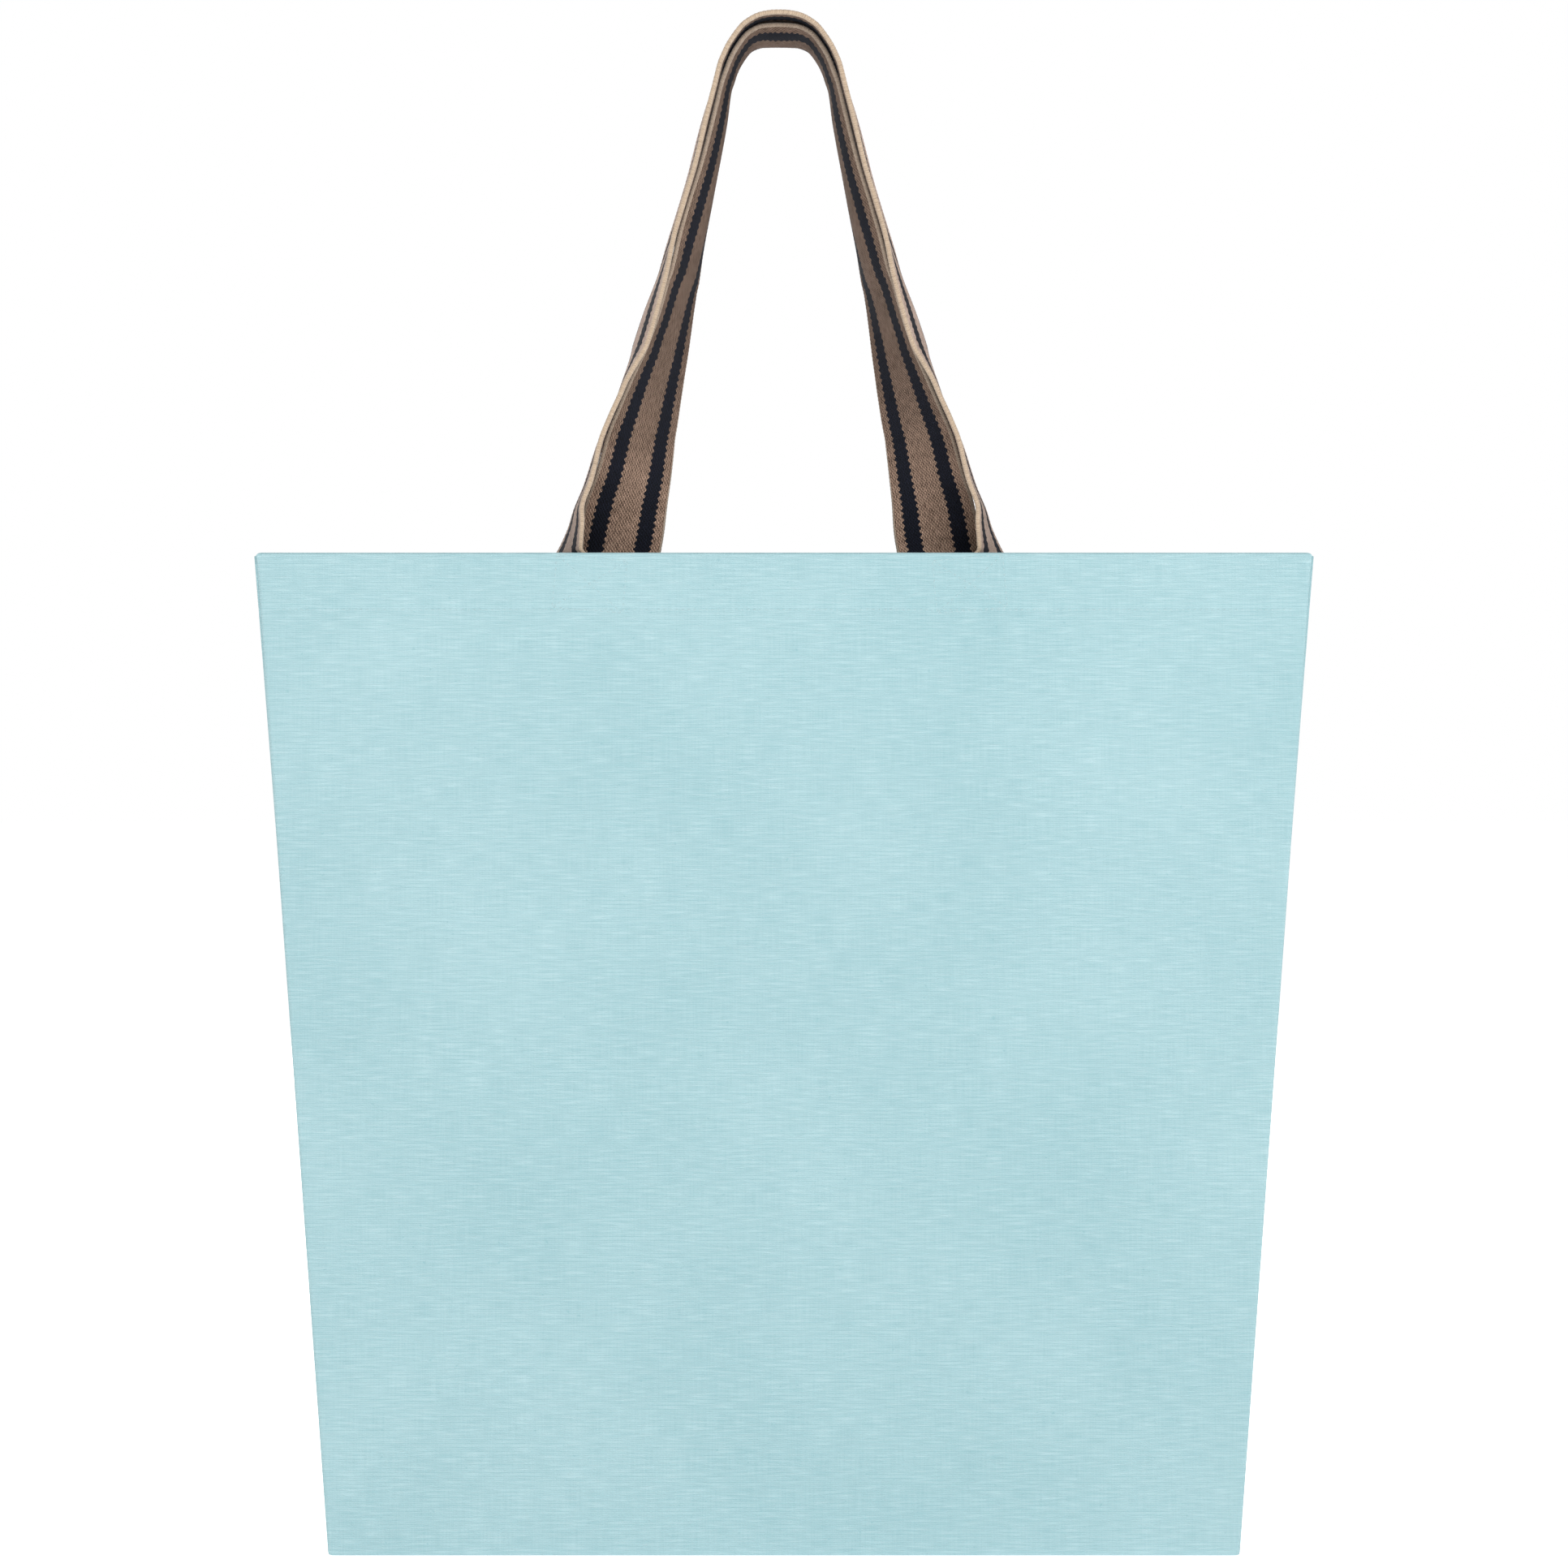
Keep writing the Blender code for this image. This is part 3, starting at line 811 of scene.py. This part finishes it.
def panel_line(side, start, end, depth, outward):
    """A straight line on a panel between two (x, slope) places, with its normals."""
    share = np.linspace(0.0, 1.0, 40)
    x = start[0] + (end[0] - start[0]) * share
    slope = start[1] + (end[1] - start[1]) * share
    path = panel_point(side, x, slope, depth - swell(side, x, slope) + hem_pucker(x, slope))
    normal = np.array([0.0, side * math.cos(LEAN), math.sin(LEAN)]) * outward
    return path, np.tile(normal, (len(path), 1))


def box_places(side, hand):
    """The corners of the stitched box at one handle end, in order."""
    centre_x = HANDLE_MIDDLE + hand * END_X[side]
    turn = hand * BOX_LEAN
    corners = []
    for across, up in ((-1, -1), (1, -1), (1, 1), (-1, 1)):
        dx, dy = across * BOX_WIDTH / 2, up * BOX_HEIGHT / 2
        x = centre_x + dx * math.cos(turn) - dy * math.sin(turn)
        slope = SLOPE - BOX_DROP + dx * math.sin(turn) + dy * math.cos(turn)
        corners.append((x, slope))
    return corners


def build_panel_stitching(side, thread):
    """The hem line and the crossed boxes, seen on both faces of the cloth."""
    name = SIDE_NAMES[side]
    outer = THREAD_BITE
    inner = 2 * CLOTH + LAYER_GAP - THREAD_BITE
    reach = edge_x(HEM_LINE) - HEM_INSET - 0.002
    ends = ((-reach, HEM_LINE), (reach, HEM_LINE))
    lines = [panel_line(side, *ends, outer, 1), panel_line(side, *ends, inner, -1)]
    obj = build_stitches(f"{name}_hem_stitches", lines, thread)
    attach(obj, f"{name}_side")
    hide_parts(f"{name}_hem_stitching")
    strap_face = 2 * CLOTH + 3 * LAYER_GAP + WEBBING_THICKNESS
    for hand in (LEFT, RIGHT):
        corners = box_places(side, hand)
        runs = [(corners[k], corners[(k + 1) % 4]) for k in range(4)]
        runs += [(corners[0], corners[2]), (corners[1], corners[3])]
        lines = [panel_line(side, *run, outer, 1) for run in runs]
        lines += [panel_line(side, *run, strap_face, -1) for run in runs]
        box = build_stitches(f"{name}_{HAND_NAMES[hand]}_box_stitches", lines, thread)
        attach(box, f"{name}_side")
        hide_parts(f"{name}_handle_{HAND_NAMES[hand]}_box_stitching")


def build_tape(name, start, end, face, width, body, node, tape):
    """A folded seam tape between two points, with face pointing out of its flat side."""
    start, end, face = (np.array(value, float) for value in (start, end, face))
    length = np.linalg.norm(end - start)
    along = (end - start) / length
    across = np.cross(face, along)
    rows, around = round(length / 0.004), 16
    angle = np.arange(around) * 2 * math.pi / around
    flat_x = np.sign(np.cos(angle)) * np.abs(np.cos(angle)) ** 0.6 * width / 2
    flat_y = np.sign(np.sin(angle)) * np.abs(np.sin(angle)) ** 0.6 * TAPE_THICKNESS / 2
    points, uvs = [], []
    for place in np.linspace(0.0, length, rows):
        wave = 0.00025 * math.sin(place / 0.013) + 0.00015 * math.sin(place / 0.0047)
        swollen = 1 + 0.12 * math.sin(place / 0.009)
        middle = start + along * place + across * wave
        points.append(middle + np.outer(flat_x, across) + np.outer(flat_y * swollen, face))
        uvs.append(np.stack([flat_x, np.full(around, place)], -1))
    faces = tube_faces(rows, around)
    obj = new_piece(name, np.concatenate(points), faces, np.concatenate(uvs), [tape])
    obj.data.set_sharp_from_angle(angle=math.radians(60))
    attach(obj, body)
    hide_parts(node)


def build_tapes(tape):
    """The tapes that bind the raw seams inside the bag."""
    for side in (FRONT, BACK):
        name = SIDE_NAMES[side]
        inward = (0.0, -side * math.cos(LEAN), -math.sin(LEAN))
        depth = CLOTH + LAYER_GAP + TAPE_THICKNESS / 2 + TAPE_LIFT
        low, high = TAPE_FOOT, SLOPE - HEM_DEPTH - TAPE_HEM_GAP
        for hand in (LEFT, RIGHT):
            ends = [
                panel_point(side, hand * (edge_x(s) - TAPE_INSET - TAPE_WIDTH / 2), s, depth)
                for s in (low, high)
            ]
            node = f"{name}_{HAND_NAMES[hand]}_seam_binding"
            build_tape(f"{node}_tape", *ends, inward, TAPE_WIDTH, f"{name}_side", node, tape)
        box_low, box_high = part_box(f"base_{name}_seam_binding")
        y = (box_low.y + box_high.y) / 2
        z = box_low.z + TAPE_THICKNESS / 2 + BASE_TAPE_LIFT
        ends = ((box_low.x, y, z), (box_high.x, y, z))
        node = f"base_{name}_seam_binding"
        build_tape(f"{node}_tape", *ends, (0, 0, 1), TAPE_WIDTH, "bag_base", node, tape)


# ---------------------------------------------------------------- webbing


def smooth_samples(points, step):
    """Rows of values about a step apart on the smooth curve through the given rows."""
    values = np.array(points, float)
    spans = np.hypot(*np.diff(values[:, :2], axis=0).T)
    places = running_total(spans)
    last = len(values) - 1
    slopes = [
        (values[min(k + 1, last)] - values[max(k - 1, 0)])
        / (places[min(k + 1, last)] - places[max(k - 1, 0)])
        for k in range(last + 1)
    ]
    samples = []
    for k in range(last):
        span = spans[k]
        count = max(1, round(span / step))
        t = (np.arange(count) / count)[:, None]
        samples.append(
            values[k] * (2 * t**3 - 3 * t**2 + 1)
            + slopes[k] * span * (t**3 - 2 * t**2 + t)
            + values[k + 1] * (3 * t**2 - 2 * t**3)
            + slopes[k + 1] * span * (t**3 - t**2)
        )
    samples.append(values[last:])
    return np.concatenate(samples)


def handle_frame(side, leg):
    """The webbing's middle line, its across and outward directions, and its cupping.

    The middle line joins the middles of the straight lines between the two edges. The
    cupping is never quite 0, because widths are divided by it.
    """
    left = [(-x, height, turn, cup) for x, height, turn, cup in leg]
    right = [(x, height, 180 - turn, cup) for x, height, turn, cup in reversed(leg[:-1])]
    x, height, turn, cup = smooth_samples(left + right, ROW_STEP).T
    turn = np.radians(turn)
    cup = np.radians(np.where(np.abs(cup) < LEAST_CUPPING, LEAST_CUPPING, cup))
    rise = np.where(height < 0, -height * PANEL_SLANT, height * RAIL_RISE / leg[-1][1])
    reach = WEBBING_WIDTH / 2 * np.sin(cup) / cup
    y = side * (RAIL_AT_MOUTH + rise - reach * np.sin(turn))
    centre = np.stack([HANDLE_MIDDLE + x, y, HEIGHT + height], -1)
    along = unit(np.gradient(centre, axis=0))
    across = np.stack([side * np.cos(turn), np.sin(turn), np.zeros(len(turn))], -1)
    square = smooth_step((height - 0.002) / 0.02)[:, None]
    across = unit(across - square * along * (along * across).sum(1, keepdims=True))
    return centre, across, unit(np.cross(along, across)), cup


def webbing_section():
    """Places across and out of the webbing, once round it, and which face each is on."""
    half, thick = WEBBING_WIDTH / 2, WEBBING_THICKNESS / 2
    flat = np.linspace(-1.0, 1.0, FACE_COLUMNS + 1) * (half - thick)
    round_edge = arc(EDGE_COLUMNS + 2, 90, -90)[1:-1]
    edge_across = half - thick + thick * np.cos(round_edge)
    edge_out = thick * np.sin(round_edge)
    face_out = np.full(len(flat), thick)
    across = np.concatenate([flat, edge_across, flat[::-1], -edge_across])
    out = np.concatenate([face_out, edge_out, -face_out, -edge_out])
    counts = [FACE_COLUMNS, EDGE_COLUMNS + 1, FACE_COLUMNS, EDGE_COLUMNS + 1]
    kind = np.repeat([OUTER_FACE, SELVEDGE, INNER_FACE, SELVEDGE], counts)
    return across, out, kind


def webbing_surface(side, leg):
    """Points of the webbing's surface, a row for each step along it, and their UVs."""
    centre, across, out, cup = handle_frame(side, leg)
    section_across, section_out, _ = webbing_section()
    walked = running_total(np.linalg.norm(np.diff(centre, axis=0), axis=1))
    u, v = section_across[None, :], walked[:, None] - walked[-1] / 2
    parity = np.cos(math.pi * u / RIB_BLOCK)
    ribs = RIB_HEIGHT * np.sin(2 * math.pi * v / RIB_PITCH + 0.5 * math.pi * parity)
    lift = section_out[None, :] + np.sign(section_out)[None, :] * ribs
    waver = 0.0004 * np.sin(v / 0.031 + side) + 0.0003 * np.sin(v / 0.0127)
    scallop = 1 + 0.003 * np.sin(2 * math.pi * v / RIB_PITCH)
    half, cup = WEBBING_WIDTH / 2, cup[:, None]
    angle = cup * u / half
    place_across = half * np.sin(angle) / cup * scallop + waver - lift * np.sin(angle)
    place_out = -half * (np.cos(angle) - np.cos(cup)) / cup + lift * np.cos(angle)
    points = (
        centre[:, None, :]
        + across[:, None, :] * place_across[..., None]
        + out[:, None, :] * place_out[..., None]
    )
    return points, np.stack(np.broadcast_arrays(u, v), -1)


def build_handle(side, leg, materials):
    """A handle: one length of webbing from its left sewn end over the top to the right."""
    points, uvs = webbing_surface(side, leg)
    rows, columns = points.shape[:2]
    kind = webbing_section()[2]
    indices = np.tile(kind, rows - 1).tolist() + [SELVEDGE, SELVEDGE]
    faces = [face[::-1] for face in tube_faces(rows, columns)]
    name = SIDE_NAMES[side]
    obj = new_piece(
        f"{name}_handle_webbing", points.reshape(-1, 3), faces, uvs.reshape(-1, 2), materials, indices
    )
    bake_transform(obj)
    nodes = [f"{name}_handle_{HAND_NAMES[hand]}_end" for hand in (LEFT, RIGHT)]
    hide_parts(f"{name}_handle_loop", *nodes)


# ---------------------------------------------------------------- studio


def add_softbox(name, place, size, power):
    """A rectangular light that faces the middle of the bag."""
    light = bpy.data.lights.new(name, "AREA")
    light.shape = "RECTANGLE"
    light.size, light.size_y = size
    light.energy = power
    obj = bpy.data.objects.new(name, light)
    obj.location = place
    obj.rotation_euler = (Vector(LIGHT_TARGET) - Vector(place)).to_track_quat("-Z", "Y").to_euler()
    bpy.context.scene.collection.objects.link(obj)


def build_floor():
    """A large white floor just under the bag."""
    mesh = bpy.data.meshes.new("studio_floor")
    signs = ((-1, -1), (1, -1), (1, 1), (-1, 1))
    corners = [(x * FLOOR_REACH, y * FLOOR_REACH, -FLOOR_DROP) for x, y in signs]
    mesh.from_pydata(corners, [], [(0, 1, 2, 3)])
    mesh.materials.append(floor_material())
    floor = bpy.data.objects.new("studio_floor", mesh)
    bpy.context.scene.collection.objects.link(floor)


def build_surround():
    """A surround that the camera sees as white and that lights the bag only a little."""
    world = bpy.data.worlds.new("studio")
    world.use_nodes = True
    nodes, links = world.node_tree.nodes, world.node_tree.links
    background = nodes["Background"]
    background.inputs["Color"].default_value = (1.0, 1.0, 1.0, 1.0)
    path = nodes.new("ShaderNodeLightPath")
    strength = nodes.new("ShaderNodeMapRange")
    strength.inputs["To Min"].default_value = SURROUND_LIGHT
    strength.inputs["To Max"].default_value = 1.0
    links.new(path.outputs["Is Camera Ray"], strength.inputs["Value"])
    links.new(strength.outputs[0], background.inputs["Strength"])
    bpy.context.scene.world = world


def build_studio():
    """A white floor, a white surround and soft boxes in front, behind and at the sides."""
    build_floor()
    build_surround()
    for softbox in SOFTBOXES:
        add_softbox(*softbox)


def add_camera():
    """The photograph's view: level, square to the front."""
    data = bpy.data.cameras.new("camera")
    data.lens = LENS
    data.sensor_width = SENSOR
    camera = bpy.data.objects.new("camera", data)
    camera.location = CAMERA_PLACE
    camera.rotation_euler = (math.radians(90), 0.0, 0.0)
    bpy.context.scene.collection.objects.link(camera)
    bpy.context.scene.camera = camera


def main():
    bpy.context.scene.view_settings.view_transform = "Standard"
    add_camera()
    build_studio()
    canvas = canvas_material("aqua_canvas", *CANVAS_COLOURS)
    thread = thread_material("aqua_thread", *THREAD_COLOURS)
    tape = tape_material("aqua_tape", *TAPE_COLOURS)
    # Painted light on the outer face and painted shade on the inner face of one webbing.
    outer_face_painted_light = webbing_material("webbing_outer_face", *OUTER_PAINTED_LIGHT_COLOURS)
    inner_face_painted_shade = webbing_material("webbing_inner_face", *INNER_PAINTED_SHADE_COLOURS, end_painted_light=INNER_END_PAINTED_LIGHT)
    selvedge = edge_material("webbing_selvedge", *SELVEDGE_COLOURS)
    # The back handle's selvedge is painted darker, as painted shade.
    painted_shade_selvedge = edge_material("webbing_selvedge_painted_shade", *PAINTED_SHADE_SELVEDGE_COLOURS)
    build_base(canvas)
    for side in (FRONT, BACK):
        build_panel(side, canvas)
        build_panel_stitching(side, thread)
        for hand in (LEFT, RIGHT):
            build_gusset_half(hand, side, canvas, thread)
    build_tapes(tape)
    build_handle(FRONT, FRONT_LEG, [outer_face_painted_light, inner_face_painted_shade, selvedge])
    build_handle(BACK, BACK_LEG, [outer_face_painted_light, inner_face_painted_shade, painted_shade_selvedge])


main()
